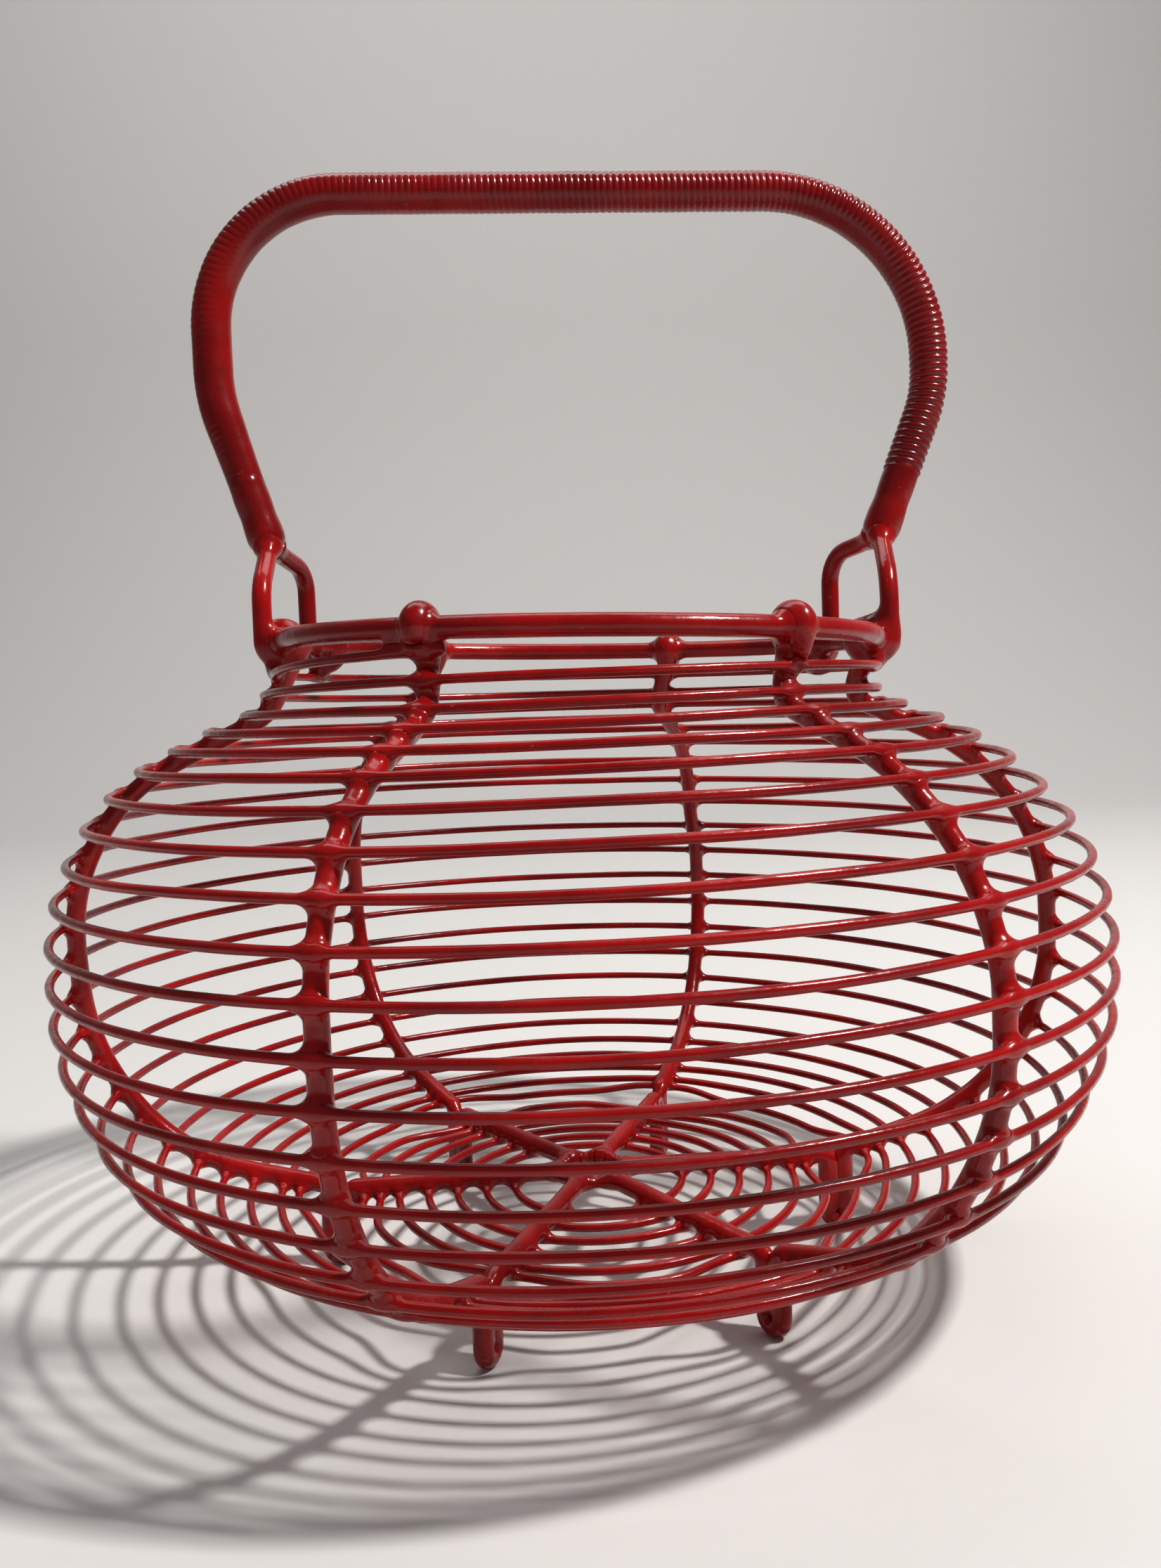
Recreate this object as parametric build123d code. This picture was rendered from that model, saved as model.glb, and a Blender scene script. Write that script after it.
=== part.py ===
from build123d import *
from math import ceil, cos, hypot, pi, radians, sin, tan
import os

# Egg collection basket in plastic-coated steel wire.
# Millimetres, +Z up. The origin is on the floor under the centre of the basket, the feet
# stand on Z = 0, the handle runs from -X to +X and the front of the basket faces -Y.
# An azimuth is measured about the axis of the basket, from the front towards +X.
# A wall line is written as (radius, height).

# --- coated wire diameters
RIM_WIRE = 5.0
RIB_WIRE = 4.6
WALL_WIRE = 2.1
HUB_WIRE = 2.8
LEG_WIRE = 4.8
HANDLE_CORE = 3.1

# --- clearances between wires that rest on each other
TOUCH = 0.05
HOOK_GAP = 0.1

# --- rim
RIM_RADIUS = 74.0
RIM_HEIGHT = 159.3

# --- wall of the basket, along the centre of a rib
NECK_FOOT = (75.1, 141.8)
NECK_ANGLE = -70.0
SHOULDER_ANGLE = -25.0
BELLY_RADIUS = 125.45
BELLY_LOW_CORNER = 37.99
FLOOR_SLOPE_ANGLE = -165.0
SPOKE_HEIGHT = 21.4
SPOKE_ANGLE = -180.0
NECK_BEND = 8.0
UPPER_BELLY_BEND = 51.45
LOWER_BELLY_BEND = 53.45
FLOOR_BEND = 20.0

# --- ribs
RIB_AZIMUTHS = {
    "rib_front_left": -20.8,
    "rib_left": -85.5,
    "rib_back_left": -142.8,
    "rib_back_right": 161.3,
    "rib_right": 95.4,
    "rib_front_right": 37.0,
}
RIB_HOOK_END = 155.6
FOOT_RADIUS = 66.0
FOOT_STRAND_GAP = 0.3
FOOT_FLAT_DEPTH = 0.2
FOOT_TOP_BEND = 2.6

# --- hub ring
HUB_RADIUS = 9.0

# --- wall wire: one long spiral, stored as one piece per turn
WALL_START_AZIMUTH = -20.8
CORNERS_PER_TURN = 24
TURN_COUNT = 29
LAST_TURN_PART = 0.25
NECK_TURNS = ((0.0, 0.0), (0.165, 3.45), (0.70, 4.0), (1.0, 5.7), (1.165, 7.6), (1.7, 9.8), (2.0, 11.7))
WALL_START_LENGTH = 0.6
WALL_PITCH = 9.0
FLOOR_PITCH = 7.75
FLOOR_PITCH_FROM = 18.0
FOOT_CLEAR = 6.2
FOOT_PUSH_REACH = 14.0
FOOT_PUSH_NEAR = 10.5
FOOT_PUSH_FAR = 27.0

# --- handle, drawn in its own upright plane as (distance along the plane, height)
HANDLE_TURN = 4.47
HANDLE_SETBACK = 10.1
HANDLE_LINE = [(-79.9, 188.9), (-91.6, 225.0), (-91.6, 275.6), (97.5, 275.6), (97.5, 222.5), (79.9, 187.5)]
HANDLE_BENDS = [45.0, 34.0, 44.0, 35.0]
CORE_OFFSET = 1.6
GRIP_OUTER = 10.0
GRIP_BORE = 6.4
SLEEVE_OUTER = 8.4
SLEEVE_LENGTHS = (14.0, 15.5)
LEG_AZIMUTHS = {"front": (-81.0, 88.5), "rear": (-109.0, 116.0)}
LEG_BEND_HEIGHT = 180.5
LEG_BEND = 7.0
LEG_TOP_DROP = 4.4
LEG_TOP_BEND = 4.0
LEG_COAT_END = 3.8
LEG_HOOK_END = 160.5


def along(point, angle, distance):
    """Point at a distance from another point, in a direction in degrees."""
    return (point[0] + distance * cos(radians(angle)), point[1] + distance * sin(radians(angle)))


def meet(line_a, line_b):
    """Crossing of two lines, each given as a point and an angle."""
    (ax, ay), angle_a = line_a
    (bx, by), angle_b = line_b
    ux, uy = cos(radians(angle_a)), sin(radians(angle_a))
    vx, vy = cos(radians(angle_b)), sin(radians(angle_b))
    t = ((bx - ax) * vy - (by - ay) * vx) / (ux * vy - uy * vx)
    return (ax + t * ux, ay + t * uy)


def wall_lines(outward):
    """The straight lines of the wall, moved outward from the centre of a rib."""
    belly_corner = (BELLY_RADIUS, BELLY_LOW_CORNER)
    lines = [
        (NECK_FOOT, NECK_ANGLE),
        (NECK_FOOT, SHOULDER_ANGLE),
        (belly_corner, -90.0),
        (belly_corner, FLOOR_SLOPE_ANGLE),
        ((0.0, SPOKE_HEIGHT), SPOKE_ANGLE),
    ]
    return [(along(point, angle + 90.0, outward), angle) for point, angle in lines]


def upright(point, azimuth):
    """Turn a wall point (radius, height) into a point in space."""
    return (point[0] * sin(radians(azimuth)), -point[0] * cos(radians(azimuth)), point[1])


def rod(path, radius):
    """Round wire along a path."""
    return sweep(Plane(origin=path @ 0, z_dir=path % 0) * Circle(radius), path=path)


def tube(path, outer, bore):
    """Round sleeve along a path."""
    return sweep(Plane(origin=path @ 0, z_dir=path % 0) * (Circle(outer / 2) - Circle(bore / 2)), path=path)


def save(shape, name, centre_length=None, diameter=None):
    """Write one piece and report its volume beside that of its wire."""
    shape = Part(shape.wrapped) if not isinstance(shape, Part) else shape
    solid = shape.solids()[0]
    assert len(shape.solids()) == 1 and solid.is_valid, name
    expected = centre_length * pi * diameter**2 / 4 if centre_length else solid.volume
    print(f"{name}: {solid.volume:.1f} mm3, wire {expected:.1f} mm3")
    solid.label = name
    export_step(solid, f"parts/{name}.step")


def rib_path(azimuth):
    """Centre line of one rib: hook over the rim, wall, folded foot and spoke."""
    neck, shoulder, belly, slope, spoke = wall_lines(0.0)
    hook = (RIM_WIRE + RIB_WIRE) / 2 + HOOK_GAP
    strand = (RIB_WIRE + FOOT_STRAND_GAP) / 2
    hook_top = RIM_HEIGHT + hook
    foot_low = RIB_WIRE / 2 - FOOT_FLAT_DEPTH
    outer_leg = ((FOOT_RADIUS + strand, 0.0), 90.0)
    corners = [
        (RIM_RADIUS + hook, hook_top),
        meet(neck, ((0.0, hook_top), 0.0)),
        meet(neck, shoulder),
        meet(shoulder, belly),
        meet(belly, slope),
        meet(slope, outer_leg),
        (FOOT_RADIUS + strand, foot_low),
        (FOOT_RADIUS - strand, foot_low),
        (FOOT_RADIUS - strand, SPOKE_HEIGHT),
    ]
    hook_bend = hook - TOUCH
    fold_bend = strand - TOUCH
    bends = [hook_bend, hook_bend, NECK_BEND, UPPER_BELLY_BEND, LOWER_BELLY_BEND]
    bends += [FOOT_TOP_BEND, fold_bend, fold_bend, FOOT_TOP_BEND]
    start = (RIM_RADIUS + hook, RIB_HOOK_END)
    end = (HUB_RADIUS + HUB_WIRE / 2 + TOUCH, SPOKE_HEIGHT)
    points = [upright(point, azimuth) for point in [start] + corners + [end]]
    return FilletPolyline(*points, radius=bends)


def make_ribs():
    """Six ribs with round hook ends and small flats worn under the feet."""
    below_floor = Pos(0, 0, -RIB_WIRE) * Box(4 * FOOT_RADIUS, 4 * FOOT_RADIUS, 2 * RIB_WIRE)
    for name, azimuth in RIB_AZIMUTHS.items():
        path = rib_path(azimuth)
        rib = rod(path, RIB_WIRE / 2) + Pos(path @ 0) * Sphere(RIB_WIRE / 2)
        save(rib - below_floor, name, path.length, RIB_WIRE)


def wall_profile():
    """Line that the centre of the wall wire follows down the outside of the ribs."""
    outward = (RIB_WIRE + WALL_WIRE) / 2 + TOUCH
    neck, shoulder, belly, slope, spoke = wall_lines(outward)
    corner = meet(neck, shoulder)
    corners = [corner, meet(shoulder, belly), meet(belly, slope), meet(slope, spoke)]
    bends = [NECK_BEND - outward, UPPER_BELLY_BEND + outward, LOWER_BELLY_BEND + outward, FLOOR_BEND]
    neck_length = 10.9
    start = along(corner, NECK_ANGLE, -neck_length)
    end = (HUB_RADIUS, spoke[0][1])
    points = [(point[0], 0, point[1]) for point in [start] + corners + [end]]
    return FilletPolyline(*points, radius=bends)


def wall_length(turn):
    """Length down the wall profile that the spiral has reached after so many turns."""
    last_turn, last_length = NECK_TURNS[-1]
    if turn >= FLOOR_PITCH_FROM:
        wall = (FLOOR_PITCH_FROM - last_turn) * WALL_PITCH
        return WALL_START_LENGTH + last_length + wall + (turn - FLOOR_PITCH_FROM) * FLOOR_PITCH
    if turn >= last_turn:
        return WALL_START_LENGTH + last_length + (turn - last_turn) * WALL_PITCH
    for (turn_a, length_a), (turn_b, length_b) in zip(NECK_TURNS, NECK_TURNS[1:]):
        if turn <= turn_b:
            part = (turn - turn_a) / (turn_b - turn_a)
            return WALL_START_LENGTH + length_a + part * (length_b - length_a)


def push_past_feet(turn, length, radius, foot_length):
    """Extra length along the profile where the spiral bends round the folded feet."""
    azimuth = WALL_START_AZIMUTH - 360.0 * turn
    for rib_azimuth in RIB_AZIMUTHS.values():
        turn_to_rib = ((azimuth - rib_azimuth + 180.0) % 360.0 - 180.0) / 360.0
        sideways = abs(turn_to_rib) * 2 * pi * radius
        at_rib = wall_length(turn + turn_to_rib) - foot_length
        if sideways > FOOT_PUSH_FAR or abs(at_rib) > FOOT_PUSH_REACH:
            continue
        pushed = FOOT_CLEAR + abs(at_rib) * (1 - FOOT_CLEAR / FOOT_PUSH_REACH)
        part = max(0.0, (sideways - FOOT_PUSH_NEAR) / (FOOT_PUSH_FAR - FOOT_PUSH_NEAR))
        weight = (1 + cos(pi * part)) / 2
        return weight * (pushed - abs(at_rib)) * (1 if at_rib > 0 else -1)
    return 0.0


def wall_points():
    """Corners of the spiral, a little outside the true radius so that its arcs lie on it."""
    profile = wall_profile()
    foot_length = profile.length - (FOOT_RADIUS - HUB_RADIUS)
    corner_reach = 1 / cos(pi / CORNERS_PER_TURN)
    count = ceil((TURN_COUNT + LAST_TURN_PART) * CORNERS_PER_TURN) + 1
    points = []
    for index in range(count):
        turn = (index - 0.5) / CORNERS_PER_TURN
        length = wall_length(max(turn, 0.0))
        place = profile.position_at(length, position_mode=PositionMode.LENGTH)
        length += push_past_feet(turn, length, place.X, foot_length)
        place = profile.position_at(length, position_mode=PositionMode.LENGTH)
        azimuth = WALL_START_AZIMUTH - 360.0 * turn
        points.append(Vector(*upright((place.X * corner_reach, place.Z), azimuth)))
    return points


def make_wall():
    """The spiral wall wire, one piece per turn, each meeting the next face to face."""
    points = wall_points()
    for number in range(1, TURN_COUNT + 1):
        first = (number - 1) * CORNERS_PER_TURN
        last = first + CORNERS_PER_TURN if number < TURN_COUNT else len(points) - 2
        corners = points[first + 1:last + 1]
        start = (points[first] + points[first + 1]) / 2
        end = (points[last] + points[last + 1]) / 2
        route = [start] + corners + [end]
        bends = []
        for before, corner, after in zip(points[first:], corners, points[first + 2:]):
            half_turn = radians((corner - before).get_angle(after - corner)) / 2
            run = min((corner - before).length, (after - corner).length)
            bends.append(0.45 * run / tan(half_turn))
        path = FilletPolyline(*route, radius=bends)
        save(rod(path, WALL_WIRE / 2), f"wall_turn_{number:02d}", path.length, WALL_WIRE)


def handle_point(distance, height, offset=0.0):
    """Point of the handle plane in space, with an offset towards the back."""
    turn = radians(HANDLE_TURN)
    x = distance * cos(turn) - offset * sin(turn)
    y = HANDLE_SETBACK + distance * sin(turn) + offset * cos(turn)
    return Vector(x, y, height)


def step_back(end, inner, distance):
    """Handle-line point at a distance from an end, along its first run."""
    share = distance / hypot(inner[0] - end[0], inner[1] - end[1])
    return (end[0] + (inner[0] - end[0]) * share, end[1] + (inner[1] - end[1]) * share)


def leg_points(azimuth, top):
    """Hook round the rim, upright leg and lean towards the sleeve, from the hook up."""
    reach = (RIM_WIRE + LEG_WIRE) / 2 + HOOK_GAP
    low = RIM_HEIGHT - reach
    wall = [
        (RIM_RADIUS - reach, LEG_HOOK_END),
        (RIM_RADIUS - reach, low),
        (RIM_RADIUS + reach, low),
        (RIM_RADIUS + reach, LEG_BEND_HEIGHT),
    ]
    points = [Vector(*upright(point, azimuth)) for point in wall]
    lean = top - points[-1]
    coat_end = top - lean.normalized() * LEG_COAT_END
    bends = [reach - TOUCH, reach - TOUCH, LEG_BEND]
    return points + [coat_end], bends


def make_handle_wires():
    """Two bent wires side by side: coated legs and hooks, bare inside the grip."""
    tops = [step_back(HANDLE_LINE[0], HANDLE_LINE[1], -LEG_TOP_DROP)]
    tops.append(step_back(HANDLE_LINE[-1], HANDLE_LINE[-2], -LEG_TOP_DROP))
    for (name, azimuths), offset in zip(LEG_AZIMUTHS.items(), (-CORE_OFFSET, CORE_OFFSET)):
        left_top, right_top = [handle_point(*top, offset) for top in tops]
        left_leg, leg_bends = leg_points(azimuths[0], left_top)
        right_leg, leg_bends = leg_points(azimuths[1], right_top)
        middle = [handle_point(*point, offset) for point in HANDLE_LINE[1:-1]]
        core = [left_leg[-1], left_top] + middle + [right_top, right_leg[-1]]
        core_path = FilletPolyline(*core, radius=[LEG_TOP_BEND] + HANDLE_BENDS + [LEG_TOP_BEND])
        wire = rod(core_path, HANDLE_CORE / 2)
        for leg in (left_leg, right_leg):
            leg_path = FilletPolyline(*leg, radius=leg_bends)
            wire += rod(leg_path, LEG_WIRE / 2) + Pos(leg[0]) * Sphere(LEG_WIRE / 2)
        save(wire, f"handle_wire_{name}")


def make_grip():
    """Close-wound wrap round both handle wires, with a smooth sleeve at each end."""
    left_end = step_back(HANDLE_LINE[0], HANDLE_LINE[1], SLEEVE_LENGTHS[0])
    right_end = step_back(HANDLE_LINE[-1], HANDLE_LINE[-2], SLEEVE_LENGTHS[1])
    grip_line = [handle_point(*point) for point in [left_end] + HANDLE_LINE[1:-1] + [right_end]]
    grip_path = FilletPolyline(*grip_line, radius=HANDLE_BENDS)
    save(tube(grip_path, GRIP_OUTER, GRIP_BORE), "grip_wrap")
    left_path = Line(handle_point(*HANDLE_LINE[0]), handle_point(*left_end))
    right_path = Line(handle_point(*HANDLE_LINE[-1]), handle_point(*right_end))
    save(tube(left_path, SLEEVE_OUTER, GRIP_BORE), "sleeve_left")
    save(tube(right_path, SLEEVE_OUTER, GRIP_BORE), "sleeve_right")


def make_rings():
    """Rim at the mouth and small hub ring at the centre of the bottom."""
    save(Pos(0, 0, RIM_HEIGHT) * Torus(RIM_RADIUS, RIM_WIRE / 2), "rim_ring")
    save(Pos(0, 0, SPOKE_HEIGHT) * Torus(HUB_RADIUS, HUB_WIRE / 2), "hub_ring")


os.makedirs("parts", exist_ok=True)
make_rings()
make_ribs()
make_wall()
make_handle_wires()
make_grip()
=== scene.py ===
import bpy
import math
import numpy as np
from mathutils import Matrix, Vector, kdtree


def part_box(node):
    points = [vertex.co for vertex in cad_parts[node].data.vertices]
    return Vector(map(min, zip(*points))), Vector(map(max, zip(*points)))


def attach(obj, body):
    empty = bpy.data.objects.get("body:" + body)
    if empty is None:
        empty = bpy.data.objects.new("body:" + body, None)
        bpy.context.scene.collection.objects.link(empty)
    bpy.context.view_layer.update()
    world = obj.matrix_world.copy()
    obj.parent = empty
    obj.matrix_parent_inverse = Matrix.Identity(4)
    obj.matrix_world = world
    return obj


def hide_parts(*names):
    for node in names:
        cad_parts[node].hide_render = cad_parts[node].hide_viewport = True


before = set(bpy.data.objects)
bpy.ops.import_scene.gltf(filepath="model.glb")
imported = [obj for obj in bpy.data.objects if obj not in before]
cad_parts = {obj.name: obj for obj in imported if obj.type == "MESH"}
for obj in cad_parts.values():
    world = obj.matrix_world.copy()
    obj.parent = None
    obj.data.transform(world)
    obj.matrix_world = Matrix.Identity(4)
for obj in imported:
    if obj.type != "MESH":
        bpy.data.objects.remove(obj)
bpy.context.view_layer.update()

# Everything below is worked out in millimetres and turned into metres when a mesh is made.
# An azimuth is measured about the basket's axis, from the front (-Y) towards +X.

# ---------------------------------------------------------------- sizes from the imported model


def box_mm(node):
    """Lowest and highest corner of a CAD node in millimetres."""
    low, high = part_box(node)
    return np.array(low) * 1000, np.array(high) * 1000


RIM_LOW, RIM_HIGH = box_mm("rim_ring")
RIM_R = (RIM_HIGH[2] - RIM_LOW[2]) / 2
RIM_RADIUS = (RIM_HIGH[0] - RIM_LOW[0]) / 2 - RIM_R
RIM_Z = (RIM_HIGH[2] + RIM_LOW[2]) / 2
HUB_LOW, HUB_HIGH = box_mm("hub_ring")
HUB_R = (HUB_HIGH[2] - HUB_LOW[2]) / 2
HUB_RADIUS = (HUB_HIGH[0] - HUB_LOW[0]) / 2 - HUB_R
SPOKE_Z = (HUB_HIGH[2] + HUB_LOW[2]) / 2
TURN_NODES = sorted(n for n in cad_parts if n.startswith("wall_turn_"))

# ---------------------------------------------------------------- sizes of the wires and their lines

# These are the CAD's sizes, apart from small departures that follow the real basket's unevenness.
# Radii of the coated wires, the sleeves and the grip:
RIB_R = 2.3
WALL_R = 1.05
LEG_R = 2.4
CORE_R = 1.55
SLEEVE_R = 4.5
GRIP_R = 5.0

# the ribs' line in their own upright plane: corners as (radius, height), runs as angles, and bends
NECK_FOOT = (75.1, 141.8)
NECK_ANGLE = -74.5
SHOULDER_ANGLE = -25.0
BELLY_RADIUS = 125.45
BELLY_LOW_CORNER = 37.99
SLOPE_ANGLE = -165.0
NECK_BEND = 8.0
UPPER_BEND = 51.45
LOWER_BEND = 53.45
FLOOR_BEND = 20.0

# each rib: azimuth at its foot, sideways turn in degrees at some heights, radius of its hook, how far the
# hook stands out from the rim's line, and depth and end radius of the hook's tip
RIBS = {
    "rib_front_left": {
        "azimuth": -20.8, "turns": ((143, 0.0), (156, -5.5)), "hook": 3.3, "out": 0.0, "tip": (1.6, 1.9),
    },
    "rib_left": {
        "azimuth": -84.8, "turns": ((50, 0.0), (95, 2.6), (125, 2.4), (153, -2.6)), "hook": 3.9, "out": 2.0,
        "tip": (1.5, 1.9),
    },
    "rib_back_left": {
        "azimuth": -142.8, "turns": ((0, 0.0),), "hook": 3.3, "out": 0.0, "tip": (2.0, 2.0),
    },
    "rib_back_right": {
        "azimuth": 161.3, "turns": ((105, 0.0), (142, -3.0)), "hook": 3.3, "out": 0.0, "tip": (2.0, 2.0),
    },
    "rib_right": {
        "azimuth": 95.8, "turns": ((143, 0.0), (156, -4.2)), "hook": 3.9, "out": 2.0, "tip": (1.5, 1.9),
    },
    "rib_front_right": {
        "azimuth": 37.4, "turns": ((40, 0.0), (85, 0.8), (142, 0.8), (156, 0.4)), "hook": 3.3, "out": 0.0,
        "tip": (5.6, 1.2),
    },
}

# the hooks, the tapered tips, the folded feet with their two strands, and the spokes' ends
TURN_SMOOTHING = 21
TIP_OUT = 0.1
HOOK_BEND_EASE = 0.15
TAPER_PAST_TIP = 1.5
SHORTEST_TAPER = 3.0
FOOT_RADIUS = 66.0
FOOT_STRAND = 2.42
FOOT_TOP_BEND = 2.6
FOOT_FOLD_BEND = 2.4
SPOKE_INTO_HUB = 0.4
SPOKE_OVER_HUB = 0.6

# the wall wire: turns and lengths down the wall, and how it is pushed past the feet
WALL_START = -20.8
WALL_START_TURN = 0.004
WALL_START_LENGTH = 0.6
WALL_NECK_LENGTH = 11.5
WALL_OFF_RIBS = 0.05
PROFILE_STEP = 0.2
TURNS = 29.25
NECK_TURNS = ((0.0, 0.0), (0.165, 3.0), (0.70, 3.4), (1.0, 5.7), (1.165, 7.5), (1.7, 10.2), (2.0, 12.0))
WALL_PITCH = 9.15
FLOOR_PITCH = 7.5
FLOOR_FROM = 18.0
FOOT_CLEAR = 6.2
FOOT_REACH = 14.0
FOOT_PUSH_FULL = 4.0
FOOT_PUSH_END = 24.0

# the handle, drawn in its own upright plane as (distance along the plane, height)
HANDLE_TURN = math.radians(4.47)
HANDLE_SETBACK = 10.1
HANDLE_LINE = [(-80.4, 188.9), (-91.6, 225.0), (-91.6, 275.5), (95.9, 275.5), (95.9, 222.5), (82.3, 187.5)]
HANDLE_BENDS = [45.0, 34.0, 44.0, 35.0]
SLEEVES = (14.0, 15.5)
CORE_OFFSETS = {"front": -1.75, "rear": 1.75}
LEGS = {"front": (-81.0, 88.5), "rear": (-109.0, 116.0)}
# height and radius of the bend in a leg, and how far below the sleeve the leg ends
LEG_SHOULDERS = {"front": (173.0, 12.0), "rear": (182.0, 8.0)}
LEG_DROP = 2.6
LEG_INSIDE = 69.9
LEG_OUTSIDE = 79.3
LEG_END_RISE = 1.8
LEG_HOOK_DROP = 4.7
LEG_END_BEND = 4.5
LEG_BEND = 4.6
CORE_FROM = (190, 195)

# hand-made unevenness: sideways shift at each height, the rim's tilt and the bottom's sag
SHIFT = ((0, 0.3), (70, 0.2), (90, -0.1), (100, -0.7), (112, -1.3), (122, -2.1), (141, -2.7), (146, -1.1), (155, 2.2))
RIM_TILT = 0.027
TILT_RISE = (145, 157)
TILT_FADE = (165, 185)
BOTTOM_SAG = 2.0
SAG_RISE = (6, 16)
SAG_FADE = (36, 60)
SAG_FRONT = (-30, 75)
CALM_START = 900.0

# how far the dipped wires sink into each other, and the spacing of the points along a wire
SEAT = 1.0
STEP = 0.5

# ---------------------------------------------------------------- lines


def along(point, angle, distance):
    """The point so far from another one in a direction."""
    a = math.radians(angle)
    return (point[0] + distance * math.cos(a), point[1] + distance * math.sin(a))


def meet(line_a, line_b):
    """Where two lines cross, each given as a point and an angle."""
    (ax, ay), aa = line_a
    (bx, by), ab = line_b
    ux, uy = math.cos(math.radians(aa)), math.sin(math.radians(aa))
    vx, vy = math.cos(math.radians(ab)), math.sin(math.radians(ab))
    t = ((bx - ax) * vy - (by - ay) * vx) / (ux * vy - uy * vx)
    return (ax + t * ux, ay + t * uy)


def wall_lines(outward):
    """Straight runs of the neck, shoulder, belly, slope and spoke, moved outward from the ribs' own line."""
    belly = (BELLY_RADIUS, BELLY_LOW_CORNER)
    lines = [(NECK_FOOT, NECK_ANGLE), (NECK_FOOT, SHOULDER_ANGLE), (belly, -90.0), (belly, SLOPE_ANGLE)]
    lines.append(((0.0, SPOKE_Z), -180.0))
    return [(along(point, angle + 90.0, outward), angle) for point, angle in lines]


def upright(point, azimuth):
    """Place in space of a (radius, height) at an azimuth."""
    a = math.radians(azimuth)
    return (point[0] * math.sin(a), -point[0] * math.cos(a), point[1])


def rounded(points, radii, step=STEP):
    """Points every step along straight runs joined by tangent arcs."""
    pts = [np.array(p, float) for p in points]
    line = [pts[0]]
    for before, corner, after, radius in zip(pts, pts[1:], pts[2:], radii):
        u = (before - corner) / np.linalg.norm(before - corner)
        v = (after - corner) / np.linalg.norm(after - corner)
        half = math.acos(np.clip(u @ v, -1, 1)) / 2
        reach = radius / math.tan(half)
        middle = (u + v) / np.linalg.norm(u + v)
        centre = corner + middle * radius / math.sin(half)
        turn = math.pi - 2 * half
        start = corner + u * reach
        x = (start - centre) / radius
        y = -u
        count = max(4, int(radius * turn / step))
        for a in np.linspace(0, turn, count + 1):
            line.append(centre + radius * (x * math.cos(a) + y * math.sin(a)))
    line.append(pts[-1])
    return resampled(np.array(line), step)


def resampled(line, step=STEP):
    """The same line with its points evenly spaced."""
    gaps = np.linalg.norm(np.diff(line, axis=0), axis=1)
    keep = np.concatenate([[True], gaps > 1e-6])
    line = line[keep]
    length = np.concatenate([[0], np.cumsum(np.linalg.norm(np.diff(line, axis=0), axis=1))])
    places = np.linspace(0, length[-1], int(length[-1] / step) + 1)
    return np.stack([np.interp(places, length, line[:, i]) for i in range(3)], axis=1)


def smooth(value, low, high):
    """Eased step from 0 at low to 1 at high."""
    t = np.clip((value - low) / (high - low), 0, 1)
    return t * t * (3 - 2 * t)


def hand_made(line):
    """The same line pulled out of true as the real basket is."""
    heights, shifts = zip(*SHIFT)
    z = line[:, 2]
    tilt = RIM_TILT * smooth(z, *TILT_RISE) * (1 - smooth(z, *TILT_FADE))
    sag = BOTTOM_SAG * smooth(z, *SAG_RISE) * (1 - smooth(z, *SAG_FADE)) * smooth(-line[:, 1], *SAG_FRONT)
    return line + np.stack([np.interp(z, heights, shifts), 0 * z, -tilt * line[:, 0] - sag], axis=1)


def waves(places, seed, length, size):
    """Slow, smooth, repeatable unevenness along a wire."""
    rng = np.random.default_rng(seed)
    total = np.zeros(len(places))
    for octave in (1.0, 1.7, 2.9):
        total += np.sin(places * 2 * math.pi / (length / octave) + rng.uniform(0, 6.28)) / octave
    return size * total / 2


def rib_line(name):
    """Hook over the rim, neck, wall, folded foot and spoke, from the hook's tip to the hub."""
    rib = RIBS[name]
    hook = rib["hook"]
    tip_depth, tip_radius = rib["tip"]
    neck, shoulder, belly, slope, spoke = wall_lines(SEAT)
    top = RIM_Z + hook
    outer_strand = FOOT_RADIUS + FOOT_STRAND
    inner_strand = FOOT_RADIUS - FOOT_STRAND
    spoke_height = spoke[0][1]
    centre = (RIM_RADIUS + rib["out"], RIM_Z)
    tip_place = centre[0] + hook + TIP_OUT
    corner = meet(neck, shoulder)
    reach = math.hypot(corner[0] - centre[0], corner[1] - centre[1])
    lean = math.atan2(centre[1] - corner[1], centre[0] - corner[0]) + math.asin(hook / reach)
    neck_up = (corner, math.degrees(lean))
    points = [
        (tip_place, RIM_Z - tip_depth),
        (tip_place, top),
        meet(neck_up, ((0.0, top), 0.0)),
        corner,
        meet(shoulder, belly),
        meet(belly, slope),
        meet(slope, ((outer_strand, 0.0), 90.0)),
        (outer_strand, RIB_R),
        (inner_strand, RIB_R),
        (inner_strand, spoke_height),
        (HUB_RADIUS - SPOKE_INTO_HUB, spoke_height + SPOKE_OVER_HUB),
    ]
    hook_bend = hook - HOOK_BEND_EASE
    radii = [hook_bend, hook_bend, NECK_BEND, UPPER_BEND, LOWER_BEND]
    radii += [FOOT_TOP_BEND, FOOT_FOLD_BEND, FOOT_FOLD_BEND, FOOT_TOP_BEND]
    line = rounded([upright(p, rib["azimuth"]) for p in points], radii)
    turn = np.radians(np.interp(line[:, 2], *zip(*rib["turns"])))
    window = np.full(TURN_SMOOTHING, 1 / TURN_SMOOTHING)
    turn = np.convolve(np.pad(turn, TURN_SMOOTHING // 2, mode="edge"), window, "valid")
    x, y, z = line.T
    line = np.stack([x * np.cos(turn) - y * np.sin(turn), x * np.sin(turn) + y * np.cos(turn), z], axis=1)
    size = np.full(len(line), RIB_R)
    taper = np.arange(len(line)) * STEP / max(tip_depth + TAPER_PAST_TIP, SHORTEST_TAPER)
    size -= (RIB_R - tip_radius) * (1 - smooth(taper, 0, 1))
    return hand_made(line), size


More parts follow.
